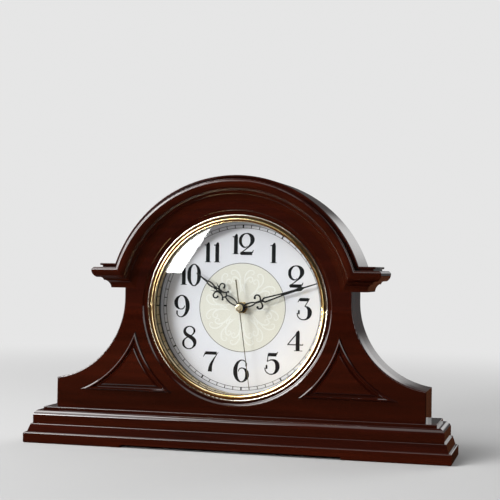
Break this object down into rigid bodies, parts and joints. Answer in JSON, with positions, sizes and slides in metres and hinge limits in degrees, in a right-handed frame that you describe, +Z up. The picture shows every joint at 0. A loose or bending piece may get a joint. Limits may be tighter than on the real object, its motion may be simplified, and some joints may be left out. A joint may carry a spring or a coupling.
{
  "type": "mantel clock",
  "caption": "Broken-arch mantel clock with hollow flanks, moulded base, arched hood, domed glass over a round numeral dial, geared quartz movement and hinged rear door.",
  "frame": {"origin": "centre of the footprint, on the surface that the clock stands on", "axes": "+Z up; the dial faces -Y; +X to the right as seen from the front"},
  "size_m": [0.44, 0.0724, 0.2772],
  "materials": {
    "case_wood": "high-gloss dark red-brown lacquer over mahogany",
    "back_board": "dull dark stain on board",
    "bezel_brass": "polished, with bright rims",
    "clear_glass": "clear, polished, domed",
    "black_rubber": "matt",
    "black_plastic": "fine matt moulded",
    "dial_paint": "satin white, with a cream centre disc",
    "steel": "plain bright",
    "hinge_brass": "plain bright",
    "ferrite": "ground, dull",
    "gear_plastic": "natural moulded nylon",
    "knob_plastic": "moulded",
    "copper_wire": "enamelled copper wire",
    "board_green": "lacquered glass-fibre board",
    "chip_resin": "poured resin",
    "crystal_can": "plated can",
    "battery_skin": "plain sleeve",
    "hand_black": "satin black",
    "hand_bronze": "dark bronze lacquer"
  },
  "bodies": {
    "case": {"base_slab": "case_wood", "base_step": "case_wood", "base_thumb": "case_wood", "front_panel": "case_wood", "left_side_wall": "case_wood", "right_side_wall": "case_wood", "arch_top": "case_wood", "hood_moulding": "case_wood", "left_ear": "case_wood", "right_ear": "case_wood", "left_corner_bead": "case_wood", "right_corner_bead": "case_wood", "left_corner_panel": "case_wood", "right_corner_panel": "case_wood", "back_panel": "back_board", "bezel": "bezel_brass", "sight_ring": "bezel_brass", "dome_glass": "clear_glass", "glass_gasket": "black_rubber", "rubber_washer": "black_rubber", "dial_spacer": "black_plastic", "movement_front": "black_plastic", "movement_back": "black_plastic", "dial_plate": "dial_paint", "dial_screws": "steel", "battery_contacts": "steel", "stator": "steel", "hinge_frame_leaves": "hinge_brass", "frame_hinge_screws": "hinge_brass", "centre_bushing": "hinge_brass", "dial_nut": "hinge_brass", "catch_magnet": "ferrite", "middle_plate": "gear_plastic", "coil_bobbin": "gear_plastic", "coil_winding": "copper_wire", "circuit_board": "board_green", "clock_chip": "chip_resin", "quartz_crystal": "crystal_can", "battery": "battery_skin"},
    "minute_work": {"minute_hand": "hand_black", "cannon_pinion": "hinge_brass", "centre_wheel": "gear_plastic"},
    "hour_work": {"hour_hand": "hand_black", "hour_wheel": "gear_plastic"},
    "second_work": {"second_hand": "hand_bronze", "hub_cap": "hinge_brass", "second_wheel": "gear_plastic"},
    "motion_work": {"motion_wheel": "gear_plastic"},
    "third_work": {"third_wheel": "gear_plastic"},
    "intermediate_work": {"intermediate_wheel": "gear_plastic"},
    "rotor_work": {"rotor": "ferrite"},
    "knob_work": {"setting_knob": "knob_plastic"},
    "door": {"rear_door": "back_board", "hinge_door_leaves": "hinge_brass", "hinge_pins": "steel", "door_hinge_screws": "hinge_brass", "catch_plate": "steel"}
  },
  "joints": [
    {"name": "minute_hand_turn", "type": "hinge", "parent": "case", "child": "minute_work", "pos_m": [0, 0.0192, 0.14325], "axis": [0, 1, 0], "continuous": true},
    {"name": "hour_hand_turn", "type": "hinge", "parent": "case", "child": "hour_work", "pos_m": [0, 0.0192, 0.14325], "axis": [0, 1, 0], "continuous": true},
    {"name": "second_hand_turn", "type": "hinge", "parent": "case", "child": "second_work", "pos_m": [0, 0.0192, 0.14325], "axis": [0, 1, 0], "continuous": true},
    {"name": "motion_wheel_turn", "type": "hinge", "parent": "case", "child": "motion_work", "pos_m": [0.01128, 0.0192, 0.14735], "axis": [0, 1, 0], "continuous": true},
    {"name": "third_wheel_turn", "type": "hinge", "parent": "case", "child": "third_work", "pos_m": [-0.00928, 0.0192, 0.1486], "axis": [0, 1, 0], "continuous": true},
    {"name": "intermediate_wheel_turn", "type": "hinge", "parent": "case", "child": "intermediate_work", "pos_m": [0.00562, 0.0192, 0.15299], "axis": [0, 1, 0], "continuous": true},
    {"name": "rotor_turn", "type": "hinge", "parent": "case", "child": "rotor_work", "pos_m": [0.01425, 0.0192, 0.15613], "axis": [0, 1, 0], "continuous": true},
    {"name": "setting_knob_turn", "type": "hinge", "parent": "case", "child": "knob_work", "pos_m": [0.02215, 0.0192, 0.14228], "axis": [0, 1, 0], "continuous": true},
    {"name": "rear_door_swing", "type": "hinge", "parent": "case", "child": "door", "pos_m": [0.0644, 0.035, 0.145], "axis": [0, 0, -1], "range_deg": [0, 110]}
  ],
  "couplings": [
    {"joint": "hour_hand_turn", "follows": "minute_hand_turn", "ratio": 0.083333},
    {"joint": "second_hand_turn", "follows": "minute_hand_turn", "ratio": 60},
    {"joint": "motion_wheel_turn", "follows": "minute_hand_turn", "ratio": -0.33333},
    {"joint": "third_wheel_turn", "follows": "minute_hand_turn", "ratio": -7.5},
    {"joint": "intermediate_wheel_turn", "follows": "minute_hand_turn", "ratio": -240},
    {"joint": "rotor_turn", "follows": "minute_hand_turn", "ratio": 1800},
    {"joint": "setting_knob_turn", "follows": "minute_hand_turn", "ratio": 1}
  ]
}
